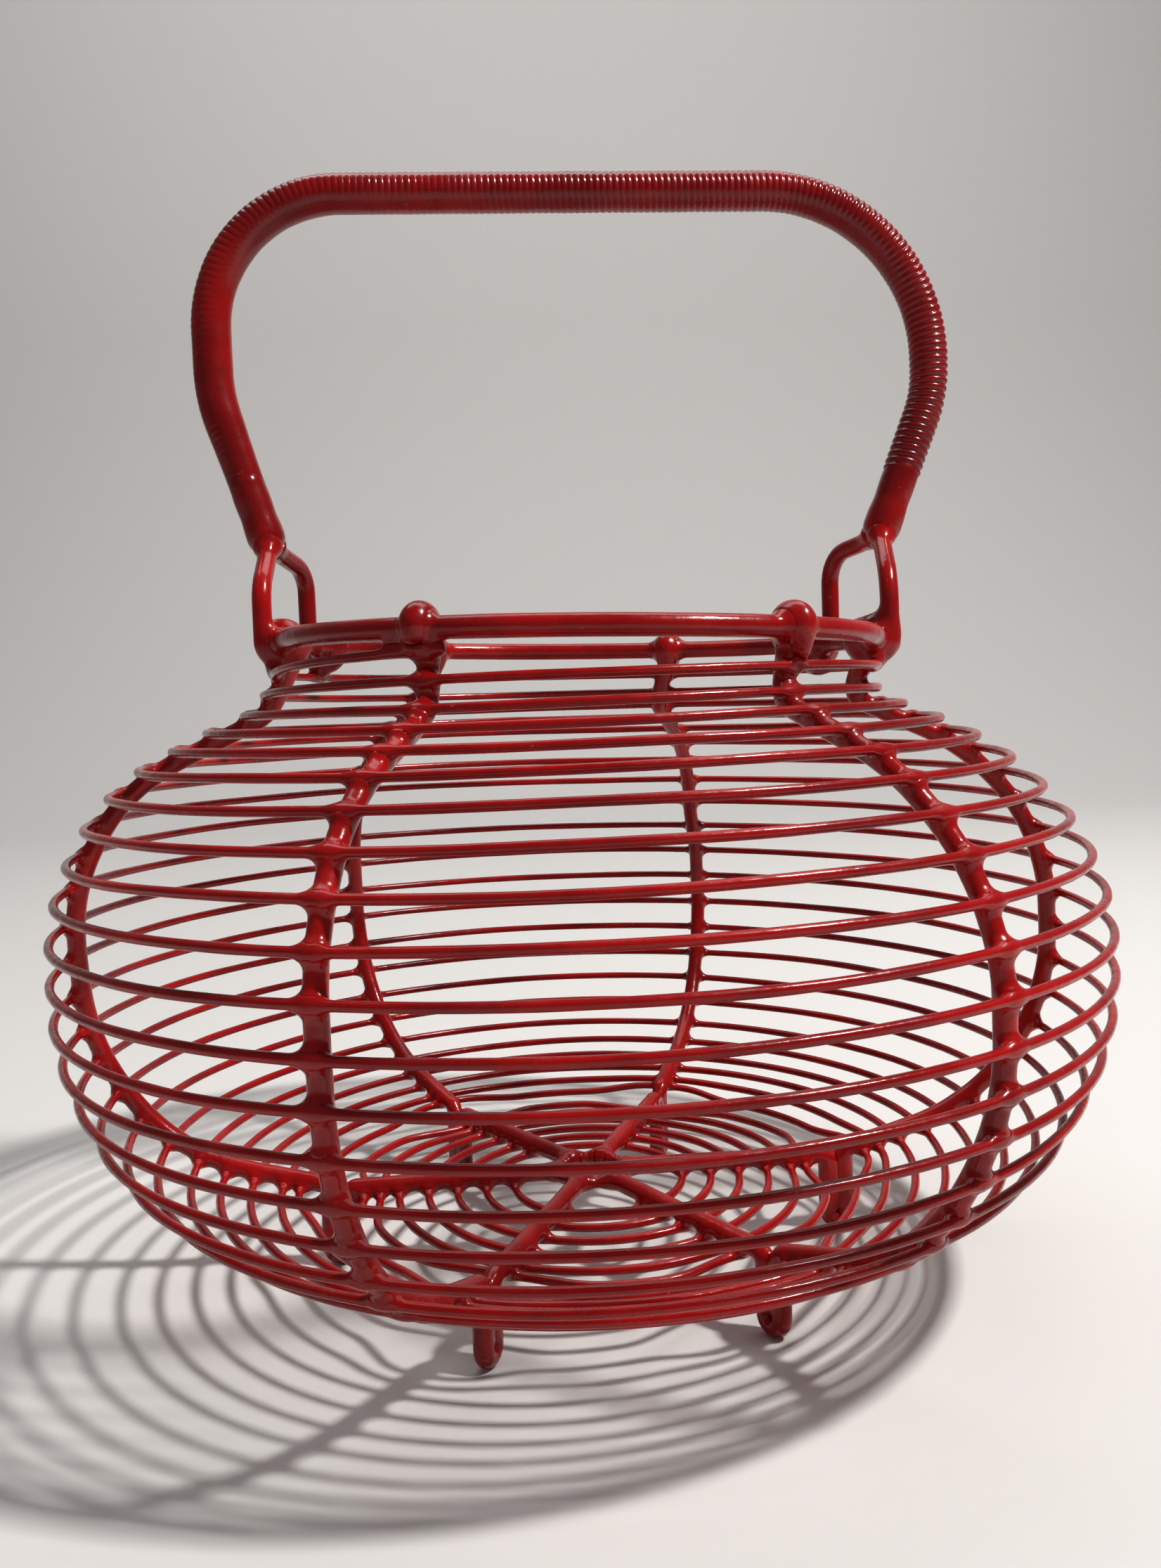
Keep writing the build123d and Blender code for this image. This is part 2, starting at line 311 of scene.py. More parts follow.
def wall_profile():
    """The line that the wall wire's centre follows down the outside of the ribs, as (radius, 0, height)."""
    outward = RIB_R + WALL_R + WALL_OFF_RIBS
    neck, shoulder, belly, slope, spoke = wall_lines(outward)
    corner = meet(neck, shoulder)
    points = [along(corner, NECK_ANGLE, -WALL_NECK_LENGTH), corner]
    points += [meet(shoulder, belly), meet(belly, slope), meet(slope, spoke), (HUB_RADIUS, spoke[0][1])]
    radii = [NECK_BEND - outward, UPPER_BEND + outward, LOWER_BEND + outward, FLOOR_BEND]
    return rounded([(p[0], 0, p[1]) for p in points], radii, PROFILE_STEP)


def wall_length(turn):
    """Length down the profile that the spiral has reached after so many turns."""
    last_turn, last_length = NECK_TURNS[-1]
    if turn < last_turn:
        turns, lengths = zip(*NECK_TURNS)
        return WALL_START_LENGTH + float(np.interp(turn, turns, lengths))
    on_wall = min(turn, FLOOR_FROM) - last_turn
    on_floor = max(turn - FLOOR_FROM, 0.0)
    return WALL_START_LENGTH + last_length + on_wall * WALL_PITCH + on_floor * FLOOR_PITCH


def push_past_feet(turn, radius, foot_length):
    """Extra length down the profile where the spiral bends round the folded feet."""
    azimuth = WALL_START - 360.0 * turn
    for rib in RIBS.values():
        to_rib = ((azimuth - rib["azimuth"] + 180.0) % 360.0 - 180.0) / 360.0
        sideways = abs(to_rib) * 2 * math.pi * radius
        at_rib = wall_length(turn + to_rib) - foot_length
        if sideways > FOOT_PUSH_END or abs(at_rib) > FOOT_REACH:
            continue
        pushed = FOOT_CLEAR + abs(at_rib) * (1 - FOOT_CLEAR / FOOT_REACH)
        part = max(0.0, (sideways - FOOT_PUSH_FULL) / (FOOT_PUSH_END - FOOT_PUSH_FULL))
        weight = (1 + math.cos(math.pi * part)) / 2
        return weight * (pushed - abs(at_rib)) * (1 if at_rib > 0 else -1)
    return 0.0


def wall_line():
    """The whole spiral, from the front left neck to the hub."""
    profile = wall_profile()
    lengths = np.concatenate([[0], np.cumsum(np.linalg.norm(np.diff(profile, axis=0), axis=1))])
    foot_length = lengths[-1] - (FOOT_RADIUS - HUB_RADIUS)
    points = []
    turn = WALL_START_TURN
    while turn < TURNS:
        length = wall_length(turn)
        radius = float(np.interp(length, lengths, profile[:, 0]))
        length += push_past_feet(turn, radius, foot_length)
        radius = float(np.interp(length, lengths, profile[:, 0]))
        height = float(np.interp(length, lengths, profile[:, 2]))
        points.append(upright((radius, height), WALL_START - 360.0 * turn))
        turn += STEP / (2 * math.pi * radius)
    line = np.array(points)
    places = np.arange(len(line)) * STEP
    calm = np.clip(places / CALM_START, 0, 1)
    line[:, 2] += calm * waves(places, 11, 173.0, 0.22)
    return hand_made(line)


def handle_point(distance, height, offset=0.0):
    """Place in space of a point in the handle's plane, or so far behind it."""
    x = distance * math.cos(HANDLE_TURN) - offset * math.sin(HANDLE_TURN)
    y = HANDLE_SETBACK + distance * math.sin(HANDLE_TURN) + offset * math.cos(HANDLE_TURN)
    return np.array((x, y, height))


def step_back(end, inner, distance):
    """The point so far from one end of a run towards its other end."""
    share = distance / math.hypot(inner[0] - end[0], inner[1] - end[1])
    return (end[0] + (inner[0] - end[0]) * share, end[1] + (inner[1] - end[1]) * share)


def leg_points(azimuth, shoulder):
    """A leg's hook under the rim, from its end inside the rim to its shoulder outside."""
    low = RIM_Z - LEG_HOOK_DROP
    hook = [(LEG_INSIDE, RIM_Z + LEG_END_RISE), (LEG_INSIDE, low), (LEG_OUTSIDE, low), (LEG_OUTSIDE, shoulder)]
    return [np.array(upright(p, azimuth)) for p in hook]


def handle_line(name):
    """Left leg, middle and right leg of one handle wire, in one line, and its radius at each point."""
    left_end = step_back(HANDLE_LINE[0], HANDLE_LINE[1], -LEG_DROP)
    right_end = step_back(HANDLE_LINE[-1], HANDLE_LINE[-2], -LEG_DROP)
    shoulder, bend = LEG_SHOULDERS[name]
    left_leg, right_leg = (leg_points(azimuth, shoulder) for azimuth in LEGS[name])
    across = [handle_point(*p, CORE_OFFSETS[name]) for p in [left_end, *HANDLE_LINE[1:-1], right_end]]
    leg_bends = [LEG_END_BEND, LEG_BEND, bend, LEG_BEND]
    line = rounded(left_leg + across + right_leg[::-1], leg_bends + HANDLE_BENDS + leg_bends[::-1])
    size = LEG_R + (CORE_R - LEG_R) * smooth(line[:, 2], *CORE_FROM)
    return hand_made(line), size


# ---------------------------------------------------------------- wires as meshes


def body_of(kind, *wires):
    """Centre points of some wires in a tree, with each point's neighbours and radius."""
    lines = [line for line, radius in wires]
    points = np.concatenate(lines)
    after = np.concatenate([np.concatenate([line[1:], line[-1:]]) for line in lines])
    before = np.concatenate([np.concatenate([line[:1], line[:-1]]) for line in lines])
    radii = np.concatenate([np.broadcast_to(radius, (len(line),)) for line, radius in wires])
    tree = kdtree.KDTree(len(points))
    for index, point in enumerate(points):
        tree.insert(point, index)
    tree.balance()
    return kind, tree, points, after, before, radii


def to_run(points, start, end):
    """Distance from each point to its own short straight run."""
    run = end - start
    share = np.einsum("ij,ij->i", points - start, run) / np.maximum(np.einsum("ij,ij->i", run, run), 1e-9)
    return np.linalg.norm(points - start - run * np.clip(share, 0, 1)[:, None], axis=1)


def gap_to(points, body):
    """Distance from each point to the surface of a body of wires."""
    tree, centres, after, before, radii = body[1:]
    near = np.array([tree.find(point)[1] for point in points], int)
    start = centres[near]
    distance = np.minimum(to_run(points, start, after[near]), to_run(points, start, before[near]))
    return distance - radii[near]


# reach of the wet coat, and how it changes between two heights at the hooks, the neck and the legs' shoulders
COAT_REACH = {"rib": 2.8, "wall": 2.5, "leg": 5.0, "rim": 4.6, "hub": 2.8, "sleeve": 4.5}
HOOK_MORE = 1.7
FRONT_LEFT_LESS = 1.5
HOOK_HEIGHTS = (149, 156)
NECK_MORE = 1.0
NECK_HEIGHTS = (138, 150)
SHOULDER_LESS = 1.0
SHOULDER_HEIGHTS = (168, 178)


def coat_reach(kind, points):
    """How far out the wet coat of each kind of wire reaches towards its neighbours."""
    z = points[:, 2]
    reach = COAT_REACH[kind]
    if kind == "rib":
        front_left = smooth(-points[:, 0], 0, 10) * smooth(-points[:, 1], 30, 50)
        return reach + (HOOK_MORE - FRONT_LEFT_LESS * front_left) * smooth(z, *HOOK_HEIGHTS)
    if kind == "wall":
        return reach + NECK_MORE * smooth(z, *NECK_HEIGHTS)
    if kind == "leg":
        return reach - SHOULDER_LESS * smooth(z, *SHOULDER_HEIGHTS)
    return np.full(len(points), reach)


# shares of the reach at which the coat is tried, how far beyond its reach a neighbour still counts as
# near, and how much of the other wire's pull a point's own wire needs for the coat to hold on to it
LEVELS = (0.0, 0.03, 0.07, 0.12, 0.18, 0.25, 0.33, 0.42)
NEARNESS = 1.25
HOLD = 0.6
CAP_ANGLES = (18, 36, 54, 70, 84)


def coat_rise(kind, base, out, size, bodies):
    """How far the coat's outer skin stands off each point of a wire's own surface."""
    surface = base + out * size[:, None]
    gaps = [gap_to(surface, body) for body in bodies]
    reach = coat_reach(kind, surface)
    rise = np.zeros(len(base))
    near = np.zeros(len(base), bool)
    for body, gap in zip(bodies, gaps):
        near |= gap < NEARNESS * coat_reach(body[0], surface)
    chosen = np.flatnonzero(near)
    if len(chosen) == 0:
        return rise
    last_excess = None
    done = np.zeros(len(chosen), bool)
    result = np.full(len(chosen), LEVELS[-1])
    for number, level in enumerate(LEVELS):
        points = surface[chosen] + out[chosen] * (level * reach[chosen])[:, None]
        total = np.full(len(chosen), (1 - level) ** 2)
        other = np.zeros(len(chosen))
        for body, gap in zip(bodies, gaps):
            there = gap[chosen] if number == 0 else gap_to(points, body)
            weight = (1 - np.clip(there / coat_reach(body[0], points), -0.5, 1)) ** 2
            total += weight
            other = np.maximum(other, weight)
        excess = np.minimum(total - 1, (1 - level) ** 2 - HOLD * other)
        if number == 0:
            result[excess <= 0] = 0
            done |= excess <= 0
        else:
            now = ~done & (excess <= 0)
            share = last_excess[now] / np.maximum(last_excess[now] - excess[now], 1e-9)
            result[now] = LEVELS[number - 1] + (level - LEVELS[number - 1]) * share
            done |= now
        last_excess = excess
    rise[chosen] = result * reach[chosen]
    return rise


def frames_along(line, closed, side=None):
    """Tangents and two normals at each point, without twist."""
    if closed:
        tangent = np.roll(line, -1, axis=0) - np.roll(line, 1, axis=0)
    else:
        tangent = np.gradient(line, axis=0)
    tangent /= np.linalg.norm(tangent, axis=1)[:, None]
    if side is None:
        first = np.cross(tangent[0], (0.0, 0.0, 1.0))
        if np.linalg.norm(first) < 0.1:
            first = np.cross(tangent[0], (1.0, 0.0, 0.0))
        normals = [first / np.linalg.norm(first)]
        for t in tangent[1:]:
            n = normals[-1] - t * (normals[-1] @ t)
            normals.append(n / np.linalg.norm(n))
        normal = np.array(normals)
    else:
        normal = np.array(side) - tangent * (tangent @ np.array(side))[:, None]
        normal /= np.linalg.norm(normal, axis=1)[:, None]
    return tangent, normal, np.cross(tangent, normal)


def mesh_from(name, rings, closed, node_names, material):
    """Object from rings of points; each ring is joined to the next."""
    count, sides = rings.shape[:2]
    points = rings.reshape(-1, 3)
    around = np.arange(sides)
    following = (around + 1) % sides
    last = count if closed else count - 1
    a = np.arange(last)[:, None] * sides
    b = ((np.arange(last) + 1) % count)[:, None] * sides
    quads = np.stack([a + around, a + following, b + following, b + around], axis=2).reshape(-1, 4)
    faces = quads.tolist()
    if not closed:
        faces.append(list(range(sides))[::-1])
        faces.append([(count - 1) * sides + i for i in range(sides)])
    mesh = bpy.data.meshes.new(name)
    mesh.from_pydata((points / 1000).tolist(), [], faces)
    mesh.shade_smooth()
    mesh.materials.append(material)
    piece = bpy.data.objects.new(name, mesh)
    bpy.context.scene.collection.objects.link(piece)
    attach(piece, "root")
    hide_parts(*node_names)


def wire(name, kind, line, radius, bodies, nodes, sides, material, coarse, seed, closed=False, side=None,
         selves=(), uneven=0.02):
    """A dipped wire: a tube with round ends whose coat runs out onto every wire that it touches.

    selves holds pairs of a mask of points along the wire and a body made from another stretch of the same
    wire. Rings that no coat reaches are kept at every coarse-th point only.
    """
    radius = np.broadcast_to(radius, (len(line),)).astype(float)
    tangent, normal, binormal = frames_along(line, closed, side)
    places = np.arange(len(line)) * STEP
    if closed:
        turns = places / places[-1] * 2 * math.pi
        lumps = uneven * (np.sin(turns * 7 + seed) + 0.6 * np.sin(turns * 19 + 2 * seed)) / 1.6
    else:
        lumps = waves(places, seed, 37.0, uneven)
    radius = radius * (1 + lumps)
    sparse = line[::2]
    keep = np.arange(len(line)) % coarse == 0
    keep[[0, -1]] = True
    touching = []
    everywhere = np.ones(len(line), bool)
    for mask, body in [(everywhere, body) for body in bodies] + list(selves):
        close = gap_to(sparse, body) < radius[::2] + NEARNESS * coat_reach(body[0], sparse)
        close = np.repeat(close, 2)[:len(line)] & mask
        keep |= close
        touching.append((close, body))
    index = np.flatnonzero(keep)
    angles = np.arange(sides) / sides * 2 * math.pi
    out = normal[index][:, None, :] * np.cos(angles)[None, :, None]
    out = out + binormal[index][:, None, :] * np.sin(angles)[None, :, None]
    rise = np.zeros((len(index), sides))
    pattern = np.zeros(len(index), int)
    for number, (close, body) in enumerate(touching):
        pattern += close[index].astype(int) << number
    for code in np.unique(pattern[pattern > 0]):
        rows = np.flatnonzero(pattern == code)
        here = [body for number, (close, body) in enumerate(touching) if code >> number & 1]
        base = np.repeat(line[index][rows], sides, axis=0)
        size = np.repeat(radius[index][rows], sides)
        rise[rows] = coat_rise(kind, base, out[rows].reshape(-1, 3), size, here).reshape(-1, sides)
    size = radius[index][:, None] + rise
    rings = line[index][:, None, :] + out * size[:, :, None]
    if not closed:
        ends = []
        for end, sign in ((0, -1.0), (-1, 1.0)):
            ring = rings[end] - line[index[end]]
            cap = []
            for degrees in CAP_ANGLES:
                s = math.radians(degrees)
                forward = sign * tangent[index[end]] * radius[index[end]] * math.sin(s)
                cap.append(line[index[end]] + ring * math.cos(s) + forward)
            ends.append(np.array(cap))
        rings = np.concatenate([ends[0][::-1], rings, ends[1]])
    mesh_from(name, rings, closed, nodes, material)


# ---------------------------------------------------------------- materials


def node(tree, kind, **values):
    made = tree.nodes.new(kind)
    for key, value in values.items():
        setattr(made, key, value)
    return made


def noise_of(tree, coords, scale, detail, rough=0.5):
    made = node(tree, "ShaderNodeTexNoise")
    made.inputs["Scale"].default_value = scale
    made.inputs["Detail"].default_value = detail
    made.inputs["Roughness"].default_value = rough
    tree.links.new(coords, made.inputs["Vector"])
    return made.outputs["Fac"]


def ramp_of(tree, value, low, high, to_low=0.0, to_high=1.0):
    made = node(tree, "ShaderNodeMapRange")
    made.interpolation_type = "SMOOTHSTEP"
    made.inputs["From Min"].default_value = low
    made.inputs["From Max"].default_value = high
    made.inputs["To Min"].default_value = to_low
    made.inputs["To Max"].default_value = to_high
    tree.links.new(value, made.inputs["Value"])
    return made.outputs["Result"]


def combined(tree, a, b, operation="MULTIPLY"):
    """Two sockets or numbers, multiplied unless another operation is named."""
    made = node(tree, "ShaderNodeMath", operation=operation)
    for socket, value in zip(made.inputs, (a, b)):
        if isinstance(value, (int, float)):
            socket.default_value = value
        else:
            tree.links.new(value, socket)
    return made.outputs[0]


def colour_mix(tree, share, a, b):
    made = node(tree, "ShaderNodeMix", data_type="RGBA")
    tree.links.new(share, made.inputs["Factor"])
    for name, value in (("A", a), ("B", b)):
        socket = next(s for s in made.inputs if s.name == name and s.type == "RGBA")
        if isinstance(value, tuple):
            socket.default_value = value
        else:
            tree.links.new(value, socket)
    return next(s for s in made.outputs if s.type == "RGBA")


def coating(name, deep, bright, lump, dust_and_sheen):
    """Thick glossy dipped vinyl: uneven red, fine orange peel, dust and painted sheen on the tops and a few brown
    chips.
    """
    material = bpy.data.materials.new(name)
    material.use_nodes = True
    tree = material.node_tree
    shader = tree.nodes["Principled BSDF"]
    coords = node(tree, "ShaderNodeTexCoord").outputs["Object"]
    normal = node(tree, "ShaderNodeNewGeometry").outputs["Normal"]
    up = node(tree, "ShaderNodeSeparateXYZ")
    tree.links.new(normal, up.inputs[0])
    # two reds in broad clouds, with darker streaks
    broad = ramp_of(tree, noise_of(tree, coords, 28.0, 3.0), 0.35, 0.68)
    red = colour_mix(tree, broad, deep, bright)
    streak = ramp_of(tree, noise_of(tree, coords, 150.0, 4.0, 0.6), 0.45, 0.75, 0.0, 0.35)
    red = colour_mix(tree, streak, red, tuple(c * 0.6 for c in deep[:3]) + (1.0,))
    # paler pink film in patches on the upward-facing tops, partly dust and partly painted sheen of the light from
    # above; fine pale specks of dust, and brown chips
    top = ramp_of(tree, up.outputs["Z"], 0.35, 1.0)
    patches = ramp_of(tree, noise_of(tree, coords, 60.0, 5.0, 0.65), 0.42, 0.72)
    film = combined(tree, combined(tree, top, patches), dust_and_sheen)
    red = colour_mix(tree, film, red, (0.42, 0.17, 0.15, 1.0))
    specks = ramp_of(tree, noise_of(tree, coords, 900.0, 2.0, 0.5), 0.73, 0.80, 0.0, 0.5)
    red = colour_mix(tree, specks, red, (0.42, 0.13, 0.11, 1.0))
    chips = ramp_of(tree, noise_of(tree, coords, 260.0, 1.0, 0.4), 0.83, 0.85)
    red = colour_mix(tree, chips, red, (0.09, 0.03, 0.02, 1.0))
    tree.links.new(red, shader.inputs["Base Color"])
    rough = ramp_of(tree, noise_of(tree, coords, 90.0, 4.0, 0.6), 0.3, 0.75, 0.15, 0.31)
    rough = combined(tree, rough, combined(tree, film, 0.45), "ADD")
    rough = combined(tree, rough, combined(tree, chips, 0.3), "ADD")
    tree.links.new(rough, shader.inputs["Roughness"])
    shader.inputs["IOR"].default_value = 1.5
    shader.inputs["Coat Weight"].default_value = 0.04
    shader.inputs["Coat Roughness"].default_value = 0.10
    shader.inputs["Specular IOR Level"].default_value = 0.28
    peel = node(tree, "ShaderNodeBump")
    peel.inputs["Strength"].default_value = 0.12
    peel.inputs["Distance"].default_value = 0.0002
    tree.links.new(noise_of(tree, coords, 1100.0, 2.0), peel.inputs["Height"])
    lumps = node(tree, "ShaderNodeBump")
    lumps.inputs["Strength"].default_value = 0.35
    lumps.inputs["Distance"].default_value = lump
    tree.links.new(noise_of(tree, coords, 210.0, 2.0), lumps.inputs["Height"])
    tree.links.new(peel.outputs["Normal"], lumps.inputs["Normal"])
    tree.links.new(lumps.outputs["Normal"], shader.inputs["Normal"])
    tree.links.new(lumps.outputs["Normal"], shader.inputs["Coat Normal"])
    return material


# the last number sets how strongly the upward-facing tops turn paler pink: partly dust, partly painted sheen of the
# light from above
wire_coat = coating(
    "wire_coat", deep=(0.19, 0.0026, 0.0032, 1.0), bright=(0.33, 0.0036, 0.0034, 1.0), lump=0.0006, dust_and_sheen=0.07,
)
# the same vinyl as wire_coat in darker reds: painted shade for the grip and sleeves, whose fronts lie in shadow
grip_coat_painted_shade = coating(
    "grip_coat_painted_shade", deep=(0.15, 0.0026, 0.0036, 1.0), bright=(0.25, 0.0038, 0.0042, 1.0), lump=0.0004, dust_and_sheen=0.08,
)

# ---------------------------------------------------------------- the basket

MOUTH_FROM = 147


def ring_line(radius, height):
    """A level ring, as the points of one wire without a doubled end."""
    turns = np.linspace(0, 2 * math.pi, int(2 * math.pi * radius / STEP), endpoint=False)
    return np.stack([radius * np.sin(turns), -radius * np.cos(turns), np.full(len(turns), height)], axis=1)


def near_neck(line, name, width):
    """The parts of a line round the mouth that pass a rib's neck."""
    neck_turn = RIBS[name]["turns"][-1][1]
    azimuth = math.radians(RIBS[name]["azimuth"] + neck_turn)
    neck = np.array((RIM_RADIUS * math.sin(azimuth), -RIM_RADIUS * math.cos(azimuth)))
    close = (np.linalg.norm(line[:, :2] - neck, axis=1) < width) & (line[:, 2] > MOUTH_FROM)
    rows = np.flatnonzero(close)
    return [line[run] for run in np.split(rows, np.flatnonzero(np.diff(rows) > 1) + 1)]


rim_line = hand_made(ring_line(RIM_RADIUS, RIM_Z))
hub_line = hand_made(ring_line(HUB_RADIUS, SPOKE_Z - SPOKE_OVER_HUB))
ribs = {name: rib_line(name) for name in RIBS}
spiral = wall_line()
handles = {name: handle_line(name) for name in LEGS}
handle_side = handle_point(0, 0, 1) - handle_point(0, 0, 0)
grip_ends = (
    step_back(HANDLE_LINE[0], HANDLE_LINE[1], SLEEVES[0]),
    step_back(HANDLE_LINE[-1], HANDLE_LINE[-2], SLEEVES[1]),
)
sleeves = {}
for name, tip, inner in zip(("sleeve_left", "sleeve_right"), (HANDLE_LINE[0], HANDLE_LINE[-1]), grip_ends):
    sleeves[name] = hand_made(rounded([handle_point(*tip), handle_point(*inner)], []))

rim_body = body_of("rim", (np.concatenate([rim_line, rim_line[:1]]), RIM_R))
hub_body = body_of("hub", (np.concatenate([hub_line, hub_line[:1]]), HUB_R))
wall_body = body_of("wall", (spiral, WALL_R))
rib_body = body_of("rib", *ribs.values())
leg_bodies = {name: body_of("leg", handles[name]) for name in handles}
sleeve_body = body_of("sleeve", *[(line, SLEEVE_R) for line in sleeves.values()])
# the web of coat that joins the rim and the first turn beside the front left neck
web_rim = body_of("rim", *[(run, RIM_R) for run in near_neck(rim_line, "rib_front_left", 5.0)])
web_wall = body_of("wall", *[(run, WALL_R) for run in near_neck(spiral, "rib_front_left", 5.5)])

wire("rim", "rim", rim_line, RIM_R, [rib_body, web_wall, *leg_bodies.values()], ["rim_ring"], sides=30,
     material=wire_coat, coarse=4, seed=3, closed=True, side=(0, 0, 1), uneven=0.012)
wire("hub", "hub", hub_line, HUB_R, [rib_body], ["hub_ring"], sides=20, material=wire_coat, coarse=1, seed=4,
     closed=True, side=(0, 0, 1))

# points of a rib round the top of its hook and round the fold of its foot that belong to neither strand,
# and the lengths of the strands in points
HOOK_POINTS = 60
HOOK_CLEAR = 5
NECK_STRAND = 34
FOOT_POINTS_CLEAR = 9
FOOT_STRAND_POINTS = 40


def own_stretches(line, size):
    """Stretches of a rib that lie side by side: the hook's tip and its neck, and the strands of the foot."""
    order = np.arange(len(line))
    top = int(np.argmax(line[:HOOK_POINTS, 2]))
    fold = int(np.argmin(line[:, 2]))
    tip = order < top - HOOK_CLEAR
    neck = (order > top + HOOK_CLEAR) & (order < top + NECK_STRAND)
    outer = (order > fold - FOOT_STRAND_POINTS) & (order < fold - FOOT_POINTS_CLEAR)
    inner = (order > fold + FOOT_POINTS_CLEAR) & (order < fold + FOOT_STRAND_POINTS)
    pairs = []
    for one, other in ((tip, neck), (outer, inner)):
        for mask, rest in ((one, other), (other, one)):
            if rest.any():
                pairs.append((mask, body_of("rib", (line[rest], size[rest]))))
    return pairs


for number, (name, (line, size)) in enumerate(ribs.items()):
    wire(name + "_wire", "rib", line, size, [wall_body, rim_body, hub_body, *leg_bodies.values()], [name],
         sides=26, material=wire_coat, coarse=2, seed=20 + number, selves=own_stretches(line, size), uneven=0.025)

wire("wall_wire", "wall", spiral, WALL_R, [rib_body, web_rim, *leg_bodies.values()], TURN_NODES, sides=14,
     material=wire_coat, coarse=5, seed=9, uneven=0.035)

for number, (name, (line, size)) in enumerate(handles.items()):
    other = leg_bodies["rear" if name == "front" else "front"]
    wire("handle_" + name, "leg", line, size, [other, rim_body, wall_body, rib_body, sleeve_body],
         ["handle_wire_" + name], sides=26, material=wire_coat, coarse=3, seed=40 + number, uneven=0.015)
for number, (name, line) in enumerate(sleeves.items()):
    size = SLEEVE_R + waves(np.arange(len(line)) * STEP, 70 + number, 11.0, 0.08)
    wire(name + "_ferrule", "sleeve", line, size, list(leg_bodies.values()), [name], sides=44,
         material=grip_coat_painted_shade, coarse=1, seed=50 + number, side=handle_side)


# along the grip: place as a share of its length, and depth of the relief on the outside and inside of the bends
RELIEF = (
    (0.00, 0.02, 0.00), (0.12, 0.05, 0.00), (0.20, 0.17, 0.00), (0.30, 0.27, 0.01), (0.40, 0.24, 0.12),
    (0.55, 0.31, 0.22), (0.66, 0.36, 0.20), (0.76, 0.42, 0.02), (0.86, 0.48, 0.16), (0.93, 0.55, 0.45),
    (1.00, 0.55, 0.50),
)
GRIP_STEP = 0.17
GRIP_SIDES = 44
WINDING_PITCH = 1.66
LAST_PITCH = 0.24
SMOOTH_END_DROP = 0.40
VALLEY_POWER = 2.3
CRACK_PLACE = 0.335
CRACK_SLANT = 1.6
CRACK_WIDTH = 0.16
CRACK_DEPTH = 0.16
# how the grip's ends close on the sleeves: distance beyond the end and share of the radius
GRIP_CLOSING = ((0.3, 0.97), (0.5, 0.90), (0.6, 0.72))


def grip():
    """Close-wound wrap: a helical ridge round the handle, partly drowned by the coat, with a fine crack."""
    left_end, right_end = grip_ends
    points = [handle_point(*p) for p in [left_end, *HANDLE_LINE[1:-1], right_end]]
    line = hand_made(rounded(points, HANDLE_BENDS, GRIP_STEP))
    tangent, normal, binormal = frames_along(line, False, handle_side)
    places = np.arange(len(line)) * GRIP_STEP
    share = places / places[-1]
    opening = LAST_PITCH * np.clip((share - 0.72) / 0.28, 0, 1)
    pitch = WINDING_PITCH + opening + waves(places, 61, 60.0, 0.03)
    winding = np.concatenate([[0], np.cumsum(GRIP_STEP / pitch[1:])])
    where, outside, inside = zip(*RELIEF)
    uneven = 1 + waves(places, 62, 29.0, 0.25)
    outside = np.interp(share, where, outside) * uneven
    inside = np.interp(share, where, inside) * uneven
    crest = GRIP_R - SMOOTH_END_DROP * (1 - smooth(share, 0.0, 0.07)) + waves(places, 63, 23.0, 0.04)
    angles = np.arange(GRIP_SIDES) / GRIP_SIDES * 2 * math.pi
    facing_out = smooth(np.sin(angles), -0.75, 0.35)
    depth = inside[:, None] + (outside - inside)[:, None] * facing_out[None, :]
    phase = (winding[:, None] - angles[None, :] / (2 * math.pi)) % 1.0
    valley = np.abs(2 * phase - 1) ** VALLEY_POWER
    size = crest[:, None] - depth * valley
    crack = CRACK_PLACE * places[-1] + CRACK_SLANT * np.sin(angles)
    in_front = smooth(-np.cos(angles), -0.5, 0.2) * smooth(np.sin(angles), -0.9, -0.3)
    from_crack = (places[:, None] - crack[None, :]) / CRACK_WIDTH
    size -= CRACK_DEPTH * in_front[None, :] * np.exp(-(from_crack ** 2))
    out = normal[:, None, :] * np.cos(angles)[None, :, None]
    out = out + binormal[:, None, :] * np.sin(angles)[None, :, None]
    rings = line[:, None, :] + out * size[:, :, None]
    start = [line[0] - tangent[0] * beyond + out[0] * (size[0] * part)[:, None] for beyond, part in GRIP_CLOSING]
    finish = [line[-1] + tangent[-1] * beyond + out[-1] * (size[-1] * part)[:, None] for beyond, part in GRIP_CLOSING]
    rings = np.concatenate([np.array(start[::-1]), rings, np.array(finish)])
    mesh_from("grip_winding", rings, False, ["grip_wrap"], grip_coat_painted_shade)


grip()

# ---------------------------------------------------------------- stage, light and camera


FLOOR_FRONT = -3.0
FLOOR_BACK = 1.2
SWEEP_BEND = 0.8
SWEEP_TOP = 4.0
SWEEP_HALF_WIDTH = 4.0


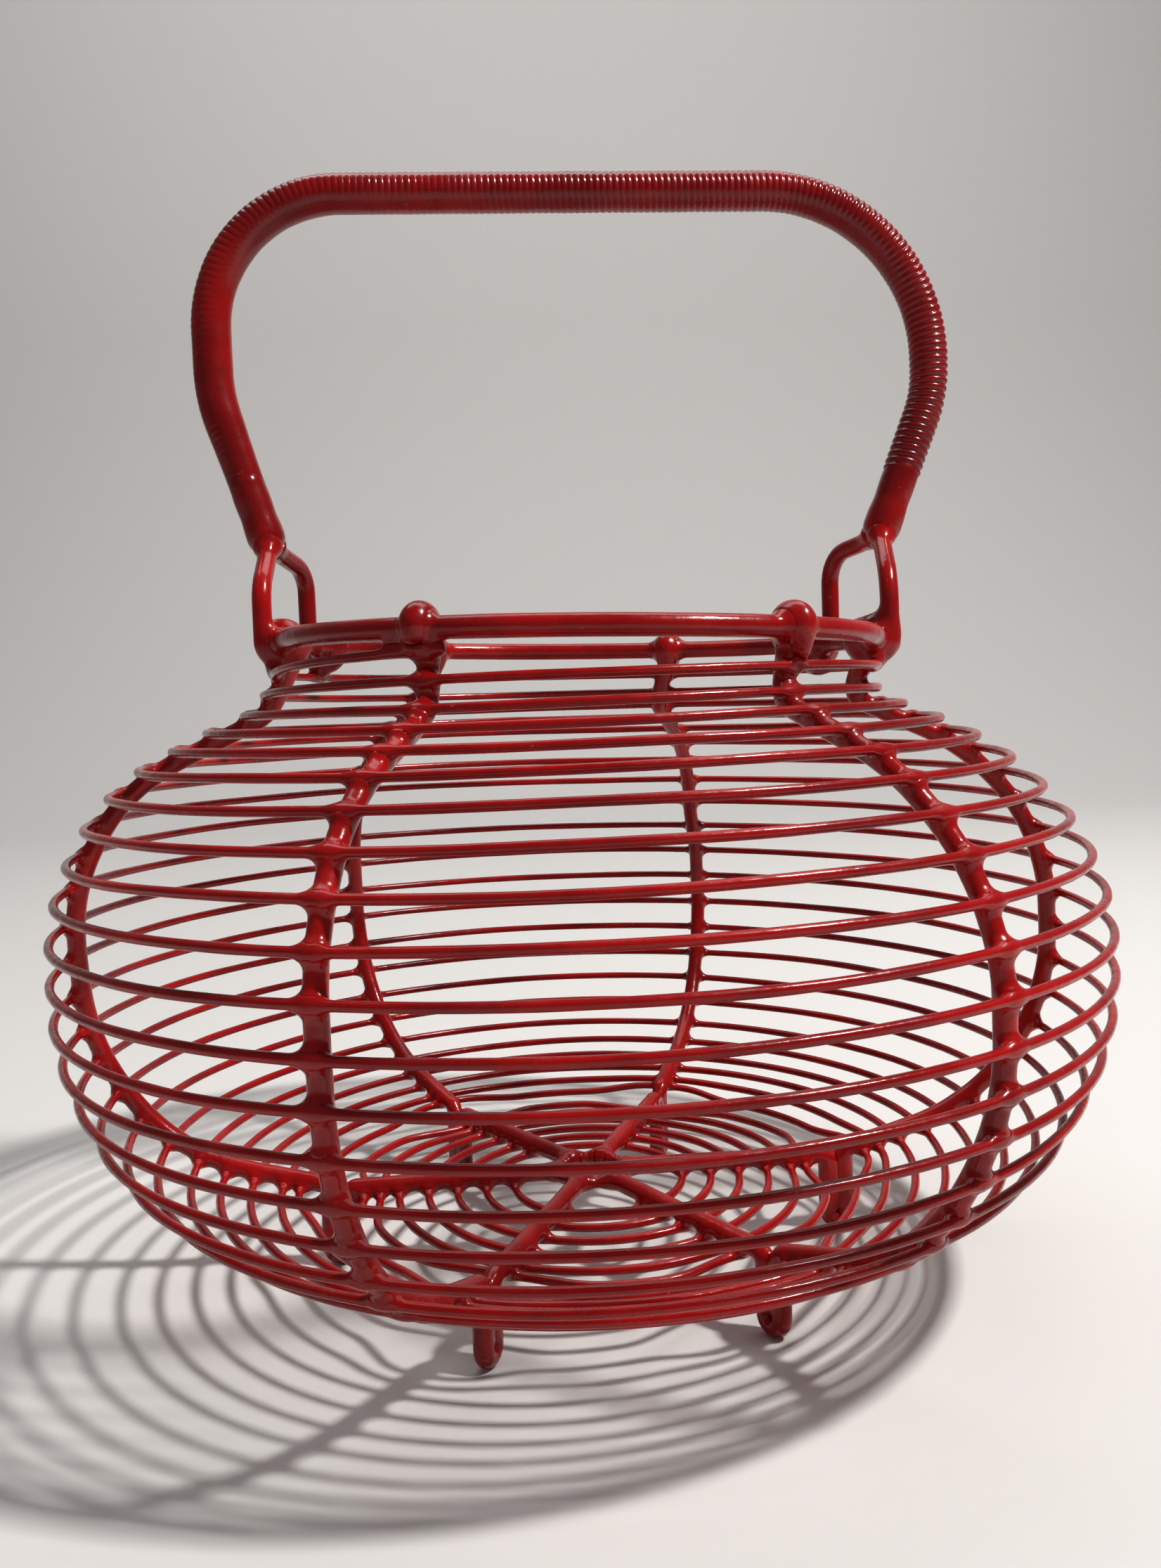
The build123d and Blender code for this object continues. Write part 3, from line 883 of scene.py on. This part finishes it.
def stage():
    """Pale sweep: floor that curves up into a wall."""
    profile = [(FLOOR_FRONT, 0.0), (FLOOR_BACK, 0.0)]
    for degrees in range(10, 91, 10):
        s = math.radians(degrees)
        profile.append((FLOOR_BACK + SWEEP_BEND * math.sin(s), SWEEP_BEND - SWEEP_BEND * math.cos(s)))
    profile.append((FLOOR_BACK + SWEEP_BEND, SWEEP_TOP))
    points = [(x, y, z) for y, z in profile for x in (-SWEEP_HALF_WIDTH, SWEEP_HALF_WIDTH)]
    faces = [(2 * i, 2 * i + 1, 2 * i + 3, 2 * i + 2) for i in range(len(profile) - 1)]
    mesh = bpy.data.meshes.new("sweep")
    mesh.from_pydata(points, [], faces)
    mesh.shade_smooth()
    material = bpy.data.materials.new("sweep")
    material.use_nodes = True
    shader = material.node_tree.nodes["Principled BSDF"]
    shader.inputs["Base Color"].default_value = (0.62, 0.60, 0.585, 1.0)
    shader.inputs["Roughness"].default_value = 0.9
    mesh.materials.append(material)
    sweep = bpy.data.objects.new("sweep", mesh)
    bpy.context.scene.collection.objects.link(sweep)


def lamp(name, place, target, power, width, height, colour=(1, 1, 1)):
    """Rectangular light that shines from a place towards a target."""
    data = bpy.data.lights.new(name, "AREA")
    data.shape = "RECTANGLE"
    data.size, data.size_y = width, height
    data.energy = power
    data.color = colour
    made = bpy.data.objects.new(name, data)
    made.location = place
    made.rotation_euler = (Vector(target) - Vector(place)).to_track_quat("-Z", "Y").to_euler()
    bpy.context.scene.collection.objects.link(made)
    return made


stage()
BASKET_MIDDLE = (0, 0, 0.13)
lamp("key", (0.84, -0.30, 1.33), BASKET_MIDDLE, 29.0, 0.12, 0.12, (1.0, 0.985, 0.96))
fill = lamp("fill", (-1.2, -1.6, 1.5), BASKET_MIDDLE, 5.0, 1.6, 1.6, (0.96, 0.98, 1.0))
fill.visible_glossy = False
lamp("back", (0.0, 0.9, 2.2), (0, 1.0, 0.2), 24.0, 2.4, 1.2)
world = bpy.data.worlds.new("studio")
world.use_nodes = True
background = world.node_tree.nodes["Background"]
background.inputs["Color"].default_value = (0.86, 0.87, 0.88, 1.0)
background.inputs["Strength"].default_value = 0.13
bpy.context.scene.world = world
bpy.context.scene.view_settings.view_transform = "Standard"

CAMERA_PLACE = (0.0020, -0.3366, 0.1443)
CAMERA_TURN = 0.16
CAMERA_DOWN = 3.71
CAMERA_ROLL = -2.05

camera_data = bpy.data.cameras.new("camera")
camera_data.sensor_width = 36.0
camera_data.lens = 29.9
camera_data.dof.use_dof = False
camera_data.clip_start, camera_data.clip_end = 0.01, 50.0
camera = bpy.data.objects.new("camera", camera_data)
bpy.context.scene.collection.objects.link(camera)
turned = Matrix.Rotation(math.radians(CAMERA_TURN), 4, "Z")
turned = turned @ Matrix.Rotation(math.radians(90 - CAMERA_DOWN), 4, "X")
rolled = Matrix.Rotation(math.radians(CAMERA_ROLL), 4, "Z")
camera.matrix_world = Matrix.Translation(CAMERA_PLACE) @ turned @ rolled
bpy.context.scene.camera = camera
